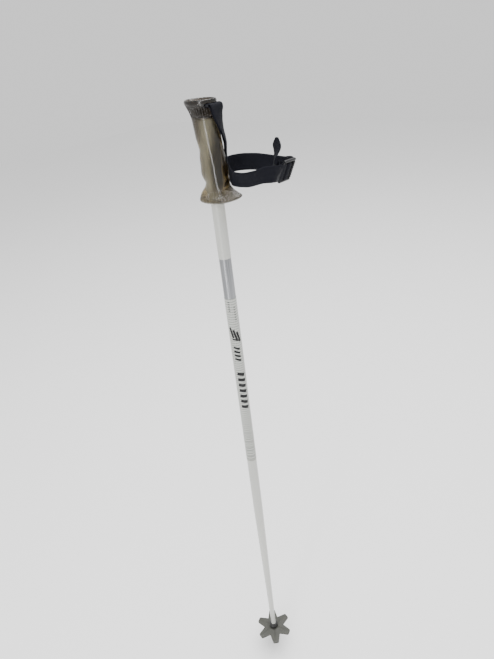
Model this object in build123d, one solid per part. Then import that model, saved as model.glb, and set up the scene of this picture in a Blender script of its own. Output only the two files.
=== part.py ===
from build123d import *
import math
import os

# Alpine ski pole, 120 cm long, standing on its tip. Units are millimetres.
# Origin: centre of the steel tip's lower end. +Z runs up the shaft.
# +X is the back of the grip, where the strap leaves it; -X is the finger side.

# ---- driving dimensions -------------------------------------------------------------------
POLE_LENGTH = 1200.0

# shaft
TUBE_TOP_Z = 1178.0
TAPER_TOP_Z = 480.0
TAPER_BOTTOM_Z = 80.0
TUBE_BOTTOM_Z = 46.0
TUBE_R = 8.7
TUBE_LOW_R = 5.05
TUBE_WALL = 1.0
FILM_INNER_R = 8.72
FILM_OUTER_R = 9.0
UPPER_FILM_BOTTOM_Z = 996.0
GRAPHIC_FILM_TOP_Z = 934.0
GRAPHIC_FILM_BOTTOM_Z = 609.0
PLUG_BOTTOM_Z = 1160.0
PLUG_TOP_Z = 1180.0
PLUG_R = 7.65
LOW_PLUG_R = 4.0
LOW_PLUG_LENGTH = 12.0

# tip and ferrule
TIP_R = 4.0
TIP_HEAD = 9.0
TIP_SHANK_R = 2.5
TIP_SHANK_TOP_Z = 24.0
TIP_HOLLOW_R = 2.8
TIP_HOLLOW_DEPTH = 1.6
SEAT_R = 6.75
SEAT_TOP_Z = 76.0
LIP_R = 7.6
FERRULE_TOP_Z = 78.0
GROOVE_BOTTOM_Z = 55.0
GROOVE_TOP_Z = 57.5
GROOVE_R = 5.9
SOCKET_R = 5.1

# basket
BASKET_RUNNING_GAP = 0.05
COLLAR_BOTTOM_Z = 57.8
COLLAR_TOP_Z = 75.7
COLLAR_R = 9.0
COLLAR_FLANGE_R = 12.5
COLLAR_FLANGE_TOP_Z = 60.0
STAR_POINTS = 6
STAR_R = 39.0
STAR_VALLEY_R = 20.5
STAR_VALLEY_FILLET = 5.0
STAR_POINT_FILLET = 2.6
STAR_POINT_HALF_WIDTH = 6.0
STAR_THICKNESS = 3.4
STAR_RIB_HEIGHT = 1.3
STAR_RIB_WIDTH = 2.2
STAR_TURN = 10.0

# grip: one oval per level, as (z, front x, back x, half width, lift of the back in degrees)
GRIP_BOTTOM_Z = 1077.5
GRIP_LEVELS = [
    (GRIP_BOTTOM_Z, -23.5, 36.0, 18.5, 3.0),
    (1079.0, -25.3, 38.5, 20.3, 3.0),
    (1081.0, -25.3, 38.5, 20.3, 3.0),
    (1084.0, -24.0, 35.0, 18.8, 3.0),
    (1088.0, -22.0, 30.0, 16.8, 2.5),
    (1092.5, -18.0, 25.5, 15.0, 2.0),
    (1097.5, -13.8, 22.3, 14.0, 1.0),
    (1102.5, -12.6, 21.2, 13.8, 0.0),
    (1109.0, -16.0, 20.9, 14.1, 0.0),
    (1115.0, -17.2, 20.8, 14.3, 0.0),
    (1122.0, -17.0, 20.5, 14.4, 0.0),
    (1132.0, -16.2, 19.4, 14.2, 0.0),
    (1142.0, -15.0, 17.6, 14.0, 0.0),
    (1150.0, -16.2, 16.8, 14.0, 0.0),
    (1158.0, -18.2, 16.0, 14.2, 0.0),
    (1166.0, -18.9, 15.3, 14.4, 0.0),
    (1174.0, -19.3, 15.0, 14.7, 0.0),
    (1182.0, -20.8, 15.0, 15.1, 0.0),
    (1188.0, -23.2, 15.0, 15.8, 0.0),
    (1193.0, -26.3, 15.2, 16.6, 0.0),
    (1196.0, -28.0, 15.4, 17.2, 0.0),
    (1198.5, -28.0, 15.4, 17.2, 0.0),
    (POLE_LENGTH, -26.8, 14.5, 16.0, 0.0),
]
CAP_DISH_SHARE = 0.86
CAP_DISH_DEPTH = 2.4
GRIP_BORE_R = 9.03

# strap webbing
WEB_WIDTH = 22.0
WEB_T = 1.4
SLOT_Z = 1193.5
SLOT_HEIGHT = 5.0
SLOT_WIDTH = 23.0
SLOT_DEPTH_X = -1.0
ANCHOR_X = 3.0
ANCHOR_R = 1.0
ANCHOR_HALF_LENGTH = 13.5
ROOT_END_X = 16.4
WEDGE_START_X = 5.5
WEDGE_END_X = 14.0
WEB_STEPS = 30

# buckle: before it is leaned over, its plane is YZ and the webbing runs along Y through it
BUCKLE_X = 80.3
BUCKLE_Y = 46.5
BUCKLE_Z = 1108.0
BUCKLE_LEAN_OUT = 22.0
BUCKLE_LEAN_BACK = -4.0
FIXED_BAR_Y = BUCKLE_Y - 10.0
FIXED_BAR_R = 1.6
FOLD_RUNNING_GAP = 0.05
FOLD_START_Y = BUCKLE_Y - 22.6
FOLD_END_Y = BUCKLE_Y - 20.6
MID_BAR_Y = (BUCKLE_Y - 1.1, BUCKLE_Y + 2.9)
LIP_BAR_Y = (BUCKLE_Y + 11.4, BUCKLE_Y + 14.9)
BUCKLE_START_Y = BUCKLE_Y - 11.8
BUCKLE_HALF_HEIGHT = 15.0
RAIL_INNER_Z = 11.6
BUCKLE_T = 4.0
BAR_T = 3.0
BUCKLE_CENTRE = Pos(BUCKLE_X, BUCKLE_Y, BUCKLE_Z)
LEAN = BUCKLE_CENTRE * Rot(0, BUCKLE_LEAN_OUT, 0) * Rot(BUCKLE_LEAN_BACK, 0, 0) * BUCKLE_CENTRE.inverse()


def save(shape, node):
    shape.label = node
    export_step(shape, "parts/" + node + ".step")


def turned(profile):
    """Solid of revolution about Z from (radius, z) corners."""
    corners = [(radius, 0, z) for radius, z in profile]
    face = make_face(Polyline(*corners, close=True))
    return revolve(face, Axis.Z, 360)


def sleeve(inner_r, outer_r, z_low, z_high):
    return turned([(inner_r, z_low), (outer_r, z_low), (outer_r, z_high), (inner_r, z_high)])


# ---- shaft --------------------------------------------------------------------------------
def shaft_tube():
    outer = [
        (TUBE_LOW_R, TUBE_BOTTOM_Z),
        (TUBE_LOW_R, TAPER_BOTTOM_Z),
        (TUBE_R, TAPER_TOP_Z),
        (TUBE_R, TUBE_TOP_Z),
    ]
    inner = [(radius - TUBE_WALL, z) for radius, z in reversed(outer)]
    return turned(outer + inner)


def upper_film():
    return sleeve(FILM_INNER_R, FILM_OUTER_R, UPPER_FILM_BOTTOM_Z, TUBE_TOP_Z)


def graphic_film():
    return sleeve(FILM_INNER_R, FILM_OUTER_R, GRAPHIC_FILM_BOTTOM_Z, GRAPHIC_FILM_TOP_Z)


def shaft_top_plug():
    return turned([
        (0, PLUG_BOTTOM_Z),
        (PLUG_R, PLUG_BOTTOM_Z),
        (PLUG_R, TUBE_TOP_Z),
        (TUBE_R, TUBE_TOP_Z),
        (TUBE_R, PLUG_TOP_Z),
        (0, PLUG_TOP_Z),
    ])


def ferrule_plug():
    plug = Cylinder(LOW_PLUG_R, LOW_PLUG_LENGTH, align=(Align.CENTER, Align.CENTER, Align.MIN))
    return Pos(0, 0, TUBE_BOTTOM_Z) * plug


# ---- tip and ferrule ----------------------------------------------------------------------
def tip_spike():
    return turned([
        (0, TIP_HOLLOW_DEPTH),
        (TIP_HOLLOW_R, 0),
        (TIP_R, 0),
        (TIP_R, TIP_HEAD),
        (TIP_SHANK_R, TIP_HEAD),
        (TIP_SHANK_R, TIP_SHANK_TOP_Z),
        (0, TIP_SHANK_TOP_Z),
    ])


def tip_ferrule():
    nose_r = 5.0
    neck_z = 40.0
    neck_r = 6.2
    seat_bottom_z = 50.0
    return turned([
        (TIP_SHANK_R, TIP_HEAD),
        (nose_r, TIP_HEAD),
        (neck_r, neck_z),
        (SEAT_R, seat_bottom_z),
        (SEAT_R, GROOVE_BOTTOM_Z),
        (GROOVE_R, GROOVE_BOTTOM_Z),
        (GROOVE_R, GROOVE_TOP_Z),
        (SEAT_R, GROOVE_TOP_Z),
        (SEAT_R, SEAT_TOP_Z),
        (LIP_R, SEAT_TOP_Z),
        (LIP_R, FERRULE_TOP_Z - 0.8),
        (LIP_R - 0.8, FERRULE_TOP_Z),
        (SOCKET_R, FERRULE_TOP_Z),
        (SOCKET_R, TUBE_BOTTOM_Z),
        (0, TUBE_BOTTOM_Z),
        (0, TIP_SHANK_TOP_Z),
        (TIP_SHANK_R, TIP_SHANK_TOP_Z),
    ])


def basket_ring():
    """Open snap ring that keeps the basket from sliding down."""
    ring_r = 8.6
    ring = sleeve(GROOVE_R + 0.03, ring_r, GROOVE_BOTTOM_Z + 0.1, GROOVE_TOP_Z - 0.1)
    opening = Pos(0, -ring_r, GROOVE_BOTTOM_Z) * Box(4.0, 2 * ring_r, 10.0)
    return ring - opening


# ---- basket -------------------------------------------------------------------------------
def basket_collar():
    bore_r = SEAT_R + BASKET_RUNNING_GAP
    return turned([
        (bore_r, COLLAR_BOTTOM_Z),
        (COLLAR_FLANGE_R, COLLAR_BOTTOM_Z),
        (COLLAR_FLANGE_R, COLLAR_FLANGE_TOP_Z),
        (COLLAR_R, COLLAR_FLANGE_TOP_Z),
        (COLLAR_R, COLLAR_TOP_Z - 1.0),
        (COLLAR_R - 1.0, COLLAR_TOP_Z),
        (bore_r, COLLAR_TOP_Z),
    ])


def star_outline():
    corners = []
    step = 360 / STAR_POINTS
    point_spread = math.degrees(math.atan2(STAR_POINT_HALF_WIDTH, STAR_R))
    for k in range(STAR_POINTS):
        for radius, angle in [
            (STAR_R, k * step - point_spread),
            (STAR_R, k * step + point_spread),
            (STAR_VALLEY_R, (k + 0.5) * step),
        ]:
            turn = math.radians(angle)
            corners.append((radius * math.cos(turn), radius * math.sin(turn)))
    face = make_face(Polyline(*corners, close=True))
    valleys = [v for v in face.vertices() if Vector(v.X, v.Y).length < STAR_VALLEY_R + 1]
    face = fillet(valleys, STAR_VALLEY_FILLET)
    points = [v for v in face.vertices() if Vector(v.X, v.Y).length > STAR_R - 1]
    return fillet(points, STAR_POINT_FILLET)


def basket_star():
    star = extrude(star_outline(), STAR_THICKNESS)
    rib_length = STAR_R - COLLAR_R - 5.0
    for k in range(STAR_POINTS):
        rib = Box(rib_length, STAR_RIB_WIDTH, STAR_RIB_HEIGHT + 0.5)
        rib = Pos(COLLAR_R + 1.0 + rib_length / 2, 0, STAR_THICKNESS + STAR_RIB_HEIGHT / 2 - 0.25) * rib
        star += Rot(0, 0, k * 360 / STAR_POINTS) * rib
    rim = Cylinder(COLLAR_R + 2.4, STAR_THICKNESS + 2.6, align=(Align.CENTER, Align.CENTER, Align.MIN))
    star += rim
    star -= Cylinder(COLLAR_R + 0.02, 40.0)
    return Pos(0, 0, COLLAR_FLANGE_TOP_Z) * Rot(0, 0, STAR_TURN) * star


# ---- grip ---------------------------------------------------------------------------------
def oval(level):
    z, front, back, half_width, lift = level
    middle = (front + back) / 2
    centre = Pos(middle, 0, z + middle * math.tan(math.radians(lift)))
    return centre * Rot(0, -lift, 0) * Ellipse((back - front) / 2, half_width)


def grip_body():
    body = loft([oval(level) for level in GRIP_LEVELS])
    bore_start = GRIP_BOTTOM_Z - 5.0
    bore_depth = PLUG_TOP_Z - bore_start
    bore = Cylinder(GRIP_BORE_R, bore_depth, align=(Align.CENTER, Align.CENTER, Align.MIN))
    body -= Pos(0, 0, bore_start) * bore
    slot_length = 40.0
    slot = Box(slot_length, SLOT_WIDTH, SLOT_HEIGHT, align=(Align.MIN, Align.CENTER, Align.CENTER))
    body -= Pos(SLOT_DEPTH_X, 0, SLOT_Z) * slot
    pin_hole = Cylinder(ANCHOR_R, ANCHOR_HALF_LENGTH + 20.0, align=(Align.CENTER, Align.CENTER, Align.MIN))
    body -= Pos(ANCHOR_X, -ANCHOR_HALF_LENGTH, SLOT_Z) * Rot(-90, 0, 0) * pin_hole
    return body - cap_dish()


def cap_dish():
    """The shallow oval hollow in the top of the cap."""
    _, front, back, half_width, _ = GRIP_LEVELS[-1]
    rim = Ellipse(CAP_DISH_SHARE * (back - front) / 2, CAP_DISH_SHARE * half_width)
    return Pos((front + back) / 2, 0, POLE_LENGTH - CAP_DISH_DEPTH) * extrude(rim, CAP_DISH_DEPTH + 1.0)


# ---- strap --------------------------------------------------------------------------------
def strap_anchor_pin():
    return Pos(ANCHOR_X, 0, SLOT_Z) * Rot(90, 0, 0) * Cylinder(ANCHOR_R, 2 * ANCHOR_HALF_LENGTH)


def strap_root():
    """Webbing folded round the anchor pin, its two layers running out of the slot."""
    middle_r = ANCHOR_R + 0.02 + WEB_T / 2
    upper = (ROOT_END_X, SLOT_Z + middle_r)
    lower = (ROOT_END_X, SLOT_Z - middle_r)
    path = Line(upper, (ANCHOR_X, SLOT_Z + middle_r))
    path += Line((ANCHOR_X, SLOT_Z - middle_r), lower)
    path += ThreePointArc(
        (ANCHOR_X, SLOT_Z + middle_r),
        (ANCHOR_X - middle_r, SLOT_Z),
        (ANCHOR_X, SLOT_Z - middle_r),
    )
    return across_y(trace(path, WEB_T))


def across_y(profile):
    """Stand a profile drawn in (x, z) upright and give it the webbing's width along Y."""
    return Pos(0, WEB_WIDTH / 2, 0) * Rot(90, 0, 0) * extrude(profile, WEB_WIDTH)


def strap_wedge():
    length = WEDGE_END_X - WEDGE_START_X
    wedge = Box(length, WEB_WIDTH - 1.0, 2 * ANCHOR_R, align=(Align.MIN, Align.CENTER, Align.CENTER))
    return Pos(WEDGE_START_X, 0, SLOT_Z) * wedge


def ribbon(points, widths):
    """Webbing along a smooth line. widths holds the direction across the webbing at each point."""
    centre = Spline(*[Vector(*p) for p in points])
    places = [centre.param_at_point(Vector(*p)) for p in points]
    sections = []
    for k in range(WEB_STEPS + 1):
        t = k / WEB_STEPS
        after = next((n for n in range(1, len(places)) if places[n] >= t - 1e-9), len(places) - 1)
        span = places[after] - places[after - 1]
        share = min(max((t - places[after - 1]) / span, 0.0), 1.0)
        share = share * share * (3 - 2 * share)
        across = Vector(*widths[after - 1]) * (1 - share) + Vector(*widths[after]) * share
        along = centre % t
        across = (across - along * across.dot(along)).normalized()
        normal = along.cross(across)
        middle = centre @ t
        side = across * (WEB_WIDTH / 2)
        skin = normal * (WEB_T / 2)
        corners = [middle + side + skin, middle - side + skin, middle - side - skin, middle + side - skin]
        sections.append(Wire.make_polygon(corners, close=True))
    return Solid.make_loft(sections, ruled=True)


UP = (0.0, 0.0, 1.0)
DOWN = (0.0, 0.0, -1.0)


def leaned(x, y):
    """A point on the buckle's middle plane, given before the buckle is leaned over."""
    return tuple((LEAN * Pos(x, y, BUCKLE_Z)).position)


LEANED_UP = tuple((LEAN * Pos(BUCKLE_X, BUCKLE_Y, BUCKLE_Z + 1)).position - BUCKLE_CENTRE.position)
LEANED_DOWN = tuple(-part for part in LEANED_UP)


def strap_far_band():
    return ribbon(
        [
            (17.7, 0.0, 1192.0), (17.6, 0.2, 1184.0), (17.3, 2.4, 1176.0), (15.3, 6.9, 1166.0),
            (12.6, 12.5, 1156.0), (9.4, 17.5, 1146.0), (5.2, 22.0, 1136.0), (3.7, 23.3, 1127.0),
            (0.6, 26.1, 1117.5), (-3.4, 31.8, 1113.5), (-4.0, 38.8, 1114.0), (1.7, 46.4, 1114.8),
            (11.5, 53.3, 1115.0), (26.0, 62.2, 1113.6), (39.2, 67.8, 1111.2), (52.4, 71.4, 1109.2),
            (62.9, 71.8, 1108.2), leaned(BUCKLE_X - 7.6, BUCKLE_Y + 23.6),
            leaned(BUCKLE_X - 3.8, BUCKLE_Y + 20.2),
        ],
        [
            (0, 1, 0), (-0.1, 0.995, 0), (-0.33, 0.944, 0), (-0.52, 0.854, 0), (-0.574, 0.819, 0),
            (-0.574, 0.819, 0), (-0.574, 0.819, 0), (-0.574, 0.819, 0), (-0.406, 0.579, 0.707),
            UP, UP, UP, UP, UP, UP, (0.1, 0.05, 0.99), (0.25, 0.12, 0.96), LEANED_UP, LEANED_UP,
        ],
    )


def strap_near_band():
    return ribbon(
        [
            (19.5, 0.0, 1192.0), (19.4, 0.3, 1184.0), (18.9, 3.1, 1176.0), (16.8, 7.9, 1166.0),
            (14.1, 13.5, 1156.0), (10.9, 18.5, 1146.0), (6.7, 23.0, 1136.0), (5.2, 24.3, 1127.0),
            (8.2, 20.4, 1117.0), (14.9, 13.0, 1111.5), (22.0, 5.8, 1110.3), (31.1, -2.6, 1109.2),
            (42.0, -6.0, 1108.0), (53.1, -4.3, 1107.6), (62.1, 2.0, 1108.6), (70.2, 10.2, 1110.4),
            leaned(BUCKLE_X - 1.6, FOLD_START_Y - 6.0), leaned(BUCKLE_X + 0.5, FOLD_START_Y - 1.1),
        ],
        [
            (0, 1, 0), (-0.1, 0.995, 0), (-0.33, 0.944, 0), (-0.52, 0.854, 0), (-0.574, 0.819, 0),
            (-0.574, 0.819, 0), (-0.574, 0.819, 0), (-0.574, 0.819, 0), (-0.406, 0.579, -0.707),
            DOWN, DOWN, (-0.12, 0.17, -0.978), (-0.243, 0.346, -0.906), (-0.243, 0.346, -0.906),
            (-0.3, 0.25, -0.92), (-0.35, 0.05, -0.93), LEANED_DOWN, LEANED_DOWN,
        ],
    )


def strap_tail():
    return ribbon(
        [
            leaned(BUCKLE_X - 8.3, BUCKLE_Y - 9.4), leaned(BUCKLE_X - 10.4, BUCKLE_Y - 10.8),
            (69.4, 36.4, 1117.0), (69.8, 38.0, 1124.0), (71.5, 39.8, 1132.0),
            (72.6, 41.0, 1140.0), (73.0, 41.6, 1149.0),
        ],
        [
            LEANED_UP, (0.4, -0.1, 0.9), (0.55, -0.6, 0.5), (0.574, -0.819, 0.1),
            (0.75, -0.66, 0.0), (0.88, -0.47, 0.0), (0.93, -0.37, 0.0),
        ],
    )


def across_z(profile):
    """Give a profile drawn in (x, y) the webbing's width along Z, at the buckle's height."""
    return LEAN * Pos(0, 0, BUCKLE_Z - WEB_WIDTH / 2) * extrude(profile, WEB_WIDTH)


def strap_bar_fold():
    """The near band's end, folded round the buckle's fixed bar and back onto itself."""
    fold_r = FIXED_BAR_R + FOLD_RUNNING_GAP + WEB_T / 2
    start = (BUCKLE_X + 0.75, FOLD_START_Y)
    end = (BUCKLE_X - 0.75, FOLD_END_Y)
    path = Line(start, (BUCKLE_X + fold_r, FIXED_BAR_Y))
    path += ThreePointArc(
        (BUCKLE_X + fold_r, FIXED_BAR_Y),
        (BUCKLE_X, FIXED_BAR_Y + fold_r),
        (BUCKLE_X - fold_r, FIXED_BAR_Y),
    )
    path += Line((BUCKLE_X - fold_r, FIXED_BAR_Y), end)
    fold = across_z(trace(path, WEB_T))
    bar_room = Cylinder(FIXED_BAR_R + FOLD_RUNNING_GAP, 2 * WEB_WIDTH)
    return fold - LEAN * Pos(BUCKLE_X, FIXED_BAR_Y, BUCKLE_Z) * bar_room


def strap_bar_tack():
    """Rows of stitches standing a little proud of the fold's outer layer."""
    rows = 3
    stitches_per_row = 9
    stitch = Box(0.3, 0.6, 1.5)
    face_x = BUCKLE_X + 0.75 + WEB_T / 2 + 0.22
    tack = []
    for row in range(rows):
        y = FOLD_START_Y + 1.0 + row * 1.6
        rise = (y - FOLD_START_Y) * (FIXED_BAR_R + WEB_T / 2 - 0.7) / (FIXED_BAR_Y - FOLD_START_Y)
        for k in range(stitches_per_row):
            z = BUCKLE_Z + (k - (stitches_per_row - 1) / 2) * 2.2
            tack.append(LEAN * Pos(face_x + rise, y, z) * stitch)
    return Compound(children=tack)


def strap_threaded():
    """Webbing that passes behind the lip bar, over the middle bar and back inside."""
    path = FilletPolyline(
        (BUCKLE_X - 3.0, BUCKLE_Y + 17.9),
        (BUCKLE_X - 3.0, BUCKLE_Y + 9.9),
        (BUCKLE_X + 2.55, BUCKLE_Y + 3.9),
        (BUCKLE_X + 2.55, BUCKLE_Y - 2.1),
        (BUCKLE_X - 2.3, BUCKLE_Y - 5.2),
        (BUCKLE_X - 5.7, BUCKLE_Y - 7.5),
        radius=1.2,
    )
    return across_z(trace(path, WEB_T))


def buckle_frame():
    """Ladder-lock buckle: two side rails, a round fixed bar, a middle bar and a lip bar."""
    length = LIP_BAR_Y[1] - BUCKLE_START_Y
    plate = Pos(BUCKLE_X, BUCKLE_START_Y + length / 2, BUCKLE_Z)
    frame = plate * Box(BUCKLE_T, length, 2 * BUCKLE_HALF_HEIGHT)
    corners = frame.edges().filter_by(Axis.X)
    frame = fillet(corners, 3.0)
    opening = LIP_BAR_Y[0] - BUCKLE_START_Y
    middle_y = BUCKLE_START_Y - 1.0 + (opening + 1.0) / 2
    frame -= Pos(BUCKLE_X, middle_y, BUCKLE_Z) * Box(BUCKLE_T + 2, opening + 1.0, 2 * RAIL_INNER_Z)
    fixed_bar = Cylinder(FIXED_BAR_R, 2 * RAIL_INNER_Z + 1.0)
    frame += Pos(BUCKLE_X, FIXED_BAR_Y, BUCKLE_Z) * fixed_bar
    mid_width = MID_BAR_Y[1] - MID_BAR_Y[0]
    middle_bar = Box(BAR_T, mid_width, 2 * RAIL_INNER_Z + 1.0)
    frame += Pos(BUCKLE_X, (MID_BAR_Y[0] + MID_BAR_Y[1]) / 2, BUCKLE_Z) * middle_bar
    return LEAN * frame


NODES = [
    tip_spike, tip_ferrule, ferrule_plug, basket_ring, basket_collar, basket_star,
    shaft_tube, graphic_film, upper_film, shaft_top_plug, grip_body,
    strap_anchor_pin, strap_root, strap_wedge, strap_far_band, strap_near_band,
    strap_bar_fold, strap_bar_tack, strap_threaded, strap_tail, buckle_frame,
]

os.makedirs("parts", exist_ok=True)
for make_node in NODES:
    save(make_node(), make_node.__name__)
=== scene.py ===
import math

import bmesh
import bpy
import numpy as np
from mathutils import Matrix, Vector


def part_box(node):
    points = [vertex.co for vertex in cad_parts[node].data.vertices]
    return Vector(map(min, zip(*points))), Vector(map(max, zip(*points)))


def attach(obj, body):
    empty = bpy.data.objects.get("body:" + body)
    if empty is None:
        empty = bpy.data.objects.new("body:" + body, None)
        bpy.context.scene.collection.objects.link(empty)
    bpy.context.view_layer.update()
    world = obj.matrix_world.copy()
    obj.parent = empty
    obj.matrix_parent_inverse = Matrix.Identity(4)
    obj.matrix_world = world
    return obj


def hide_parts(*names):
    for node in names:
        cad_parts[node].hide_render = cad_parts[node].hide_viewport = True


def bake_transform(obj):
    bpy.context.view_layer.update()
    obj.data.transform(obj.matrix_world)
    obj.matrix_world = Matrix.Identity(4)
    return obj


# An alpine ski pole standing on its tip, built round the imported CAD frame. Units are metres.

MM = 0.001

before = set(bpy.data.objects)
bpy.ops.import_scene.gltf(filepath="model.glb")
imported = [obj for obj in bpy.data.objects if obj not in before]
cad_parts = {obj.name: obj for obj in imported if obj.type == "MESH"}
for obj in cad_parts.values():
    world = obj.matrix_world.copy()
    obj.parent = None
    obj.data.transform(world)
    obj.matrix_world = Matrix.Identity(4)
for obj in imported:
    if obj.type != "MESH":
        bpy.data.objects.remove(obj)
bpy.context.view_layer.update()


# ---- small helpers --------------------------------------------------------------------------
def smooth_faces(mesh):
    mesh.polygons.foreach_set("use_smooth", [True] * len(mesh.polygons))


def mesh_piece(name, verts, faces, material, body):
    """A smooth mesh object made from vertex and face lists, riding on a body if one is given."""
    mesh = bpy.data.meshes.new(name)
    mesh.from_pydata([tuple(v) for v in verts], [], faces)
    mesh.validate()
    mesh.update()
    bm = bmesh.new()
    bm.from_mesh(mesh)
    bmesh.ops.recalc_face_normals(bm, faces=bm.faces)
    bm.to_mesh(mesh)
    bm.free()
    smooth_faces(mesh)
    piece = bpy.data.objects.new(name, mesh)
    bpy.context.scene.collection.objects.link(piece)
    piece.data.materials.append(material)
    if body:
        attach(piece, body)
    return piece


def apply_modifiers(piece):
    """Bakes a piece's modifiers into its mesh."""
    graph = bpy.context.evaluated_depsgraph_get()
    mesh = bpy.data.meshes.new_from_object(piece.evaluated_get(graph))
    piece.modifiers.clear()
    piece.data = mesh


def smooth_through(points, samples):
    """A smooth line through given points: (samples + 1) places spread evenly by length."""
    points = np.array(points, float)
    gaps = np.linalg.norm(np.diff(points[:, :3], axis=0), axis=1)
    knots = np.concatenate([[0.0], np.cumsum(gaps)])
    slopes = np.zeros_like(points)
    slopes[1:-1] = (points[2:] - points[:-2]) / (knots[2:] - knots[:-2])[:, None]
    slopes[0] = (points[1] - points[0]) / gaps[0]
    slopes[-1] = (points[-1] - points[-2]) / gaps[-1]
    places = np.linspace(0.0, knots[-1], samples + 1)
    span = np.clip(np.searchsorted(knots, places, side="right") - 1, 0, len(gaps) - 1)
    length = gaps[span]
    t = ((places - knots[span]) / length)[:, None]
    length = length[:, None]
    return (
        (2 * t**3 - 3 * t**2 + 1) * points[span]
        + (t**3 - 2 * t**2 + t) * length * slopes[span]
        + (3 * t**2 - 2 * t**3) * points[span + 1]
        + (t**3 - t**2) * length * slopes[span + 1]
    )


def join_rings(one, other, around):
    """Quads between two closed rings, given the number of each ring's first vertex."""
    faces = []
    for j in range(around):
        k = (j + 1) % around
        faces.append((one + j, one + k, other + k, other + j))
    return faces


def grid_faces(rings, around):
    """Quads between each closed ring of `around` points and the next."""
    faces = []
    for i in range(rings - 1):
        faces += join_rings(i * around, (i + 1) * around, around)
    return faces


# ---- sizes the materials need ---------------------------------------------------------------
GRAPHIC_LOW, GRAPHIC_HIGH = (corner[2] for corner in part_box("graphic_film"))
FILM_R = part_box("graphic_film")[1][0]
PRINT_ROWS = 0.0042  # pitch of the printed grid's rows
PRINT_COLUMNS = 0.0028  # and of its columns
RING_PITCH = 0.0068  # printed rings towards the film's lower end
RINGS_FROM, RINGS_TO = 0.02, 0.125  # they fade out between these heights above that end
TORN_FROM, TORN_TO = 0.006, 0.0115  # the film's ragged edge, above the same end
RAGGED = 0.010
BARE_FROM = GRAPHIC_LOW + 0.002  # the tube's white paint stops here, under the film
PAINT_EDGE = 0.0002
WEAVE_PITCH = 0.0011
HERRINGBONE = 0.0037
HERRINGBONE_SLOPE = 0.9
GRIP_DENSITY = 120.0
CAP_SHADE_FROM, CAP_SHADE_TO = 1.1775, 1.1825  # painted shade: the grip's cap is tinted dark from this height up
SKIN_SHADE_FROM, SKIN_SHADE_TO = 0.0132, 0.0168  # and so is its outer skin, from this radius out
PLATFORM_SHADE_FROM, PLATFORM_SHADE_TO = 1.084, 1.104  # which gets less of that painted shade below these heights, over the hand platform


# ---- materials ------------------------------------------------------------------------------
class Nodes:
    """A material's node tree with short calls for the nodes used here."""

    def __init__(self, name):
        self.material = bpy.data.materials.new(name)
        self.material.use_nodes = True
        self.tree = self.material.node_tree
        self.shader = self.tree.nodes["Principled BSDF"]
        self.output = self.tree.nodes["Material Output"]

    def add(self, kind, **settings):
        node = self.tree.nodes.new(kind)
        for key, value in settings.items():
            setattr(node, key, value)
        return node

    def link(self, source, target):
        self.tree.links.new(source, target)

    def feed(self, node, name, value):
        if hasattr(value, "links"):
            self.link(value, node.inputs[name])
        else:
            node.inputs[name].default_value = value

    def math(self, operation, a, b=None):
        node = self.add("ShaderNodeMath", operation=operation)
        for slot, value in enumerate((a, b)):
            if value is not None:
                self.feed(node, slot, value)
        return node.outputs[0]

    def place(self):
        return self.add("ShaderNodeTexCoord").outputs["Object"]

    def axes(self, vector):
        node = self.add("ShaderNodeSeparateXYZ")
        self.link(vector, node.inputs[0])
        return node.outputs

    def noise(self, scale, detail, stretch=None):
        node = self.add("ShaderNodeTexNoise")
        node.inputs["Scale"].default_value = scale
        node.inputs["Detail"].default_value = detail
        source = self.place()
        if stretch:
            mapping = self.add("ShaderNodeMapping")
            mapping.inputs["Scale"].default_value = stretch
            self.link(source, mapping.inputs["Vector"])
            source = mapping.outputs[0]
        self.link(source, node.inputs["Vector"])
        return node.outputs[0]

    def ramp(self, value, low, high, dark=0.0, light=1.0):
        """Goes smoothly from dark, where value is low or less, to light, where it is high."""
        node = self.add("ShaderNodeMapRange", interpolation_type="SMOOTHSTEP")
        self.feed(node, "Value", value)
        node.inputs["From Min"].default_value = low
        node.inputs["From Max"].default_value = high
        node.inputs["To Min"].default_value = dark
        node.inputs["To Max"].default_value = light
        return node.outputs[0]

    def mix(self, share, first, second):
        """The first colour where share is 0, the second where it is 1."""
        node = self.add("ShaderNodeMix", data_type="RGBA")
        self.feed(node, 0, share)
        for slot, value in ((6, first), (7, second)):
            self.feed(node, slot, value)
        return node.outputs[2]

    def bump(self, height, strength, distance):
        node = self.add("ShaderNodeBump")
        node.inputs["Strength"].default_value = strength
        node.inputs["Distance"].default_value = distance
        self.link(height, node.inputs["Height"])
        self.link(node.outputs[0], self.shader.inputs["Normal"])

    def set(self, **sockets):
        """Sets or links the shader's sockets, named with _ for each space."""
        for name, value in sockets.items():
            self.feed(self.shader, name.replace("_", " "), value)


def rgba(red, green, blue):
    return (red, green, blue, 1.0)


SHAFT_WHITE = rgba(0.46, 0.465, 0.435)
FILM_WHITE = rgba(0.46, 0.47, 0.44)
NICK_GREY = rgba(0.30, 0.30, 0.29)
SCUFF_GREY = rgba(0.45, 0.45, 0.44)
GRID_GREY = rgba(0.10, 0.11, 0.095)
RING_GREY = rgba(0.13, 0.135, 0.12)
TORN_GREY = rgba(0.22, 0.22, 0.19)
METAL_DARK = rgba(0.20, 0.205, 0.215)
METAL_PALE = rgba(0.31, 0.315, 0.325)
# painted shade: the near-black tint of the grip's cap and outer skin
SMOKE_PAINTED_SHADE = rgba(0.060, 0.046, 0.034)
SMOKE_CLEAR = rgba(0.88, 0.84, 0.70)
SMOKE_CLEAREST = rgba(0.94, 0.90, 0.78)
SMOKE_TINT = rgba(0.57, 0.50, 0.30)
# painted shade and light of the weave: its hollows, then its raised cords
THREAD_HOLLOW_SHADE = rgba(0.003, 0.003, 0.005)
THREAD_CORD_LIT = rgba(0.008, 0.009, 0.015)
THREAD_DUST = rgba(0.026, 0.027, 0.033)
STEEL_DARK = rgba(0.34, 0.33, 0.32)
STEEL_PALE = rgba(0.52, 0.52, 0.52)


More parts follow.
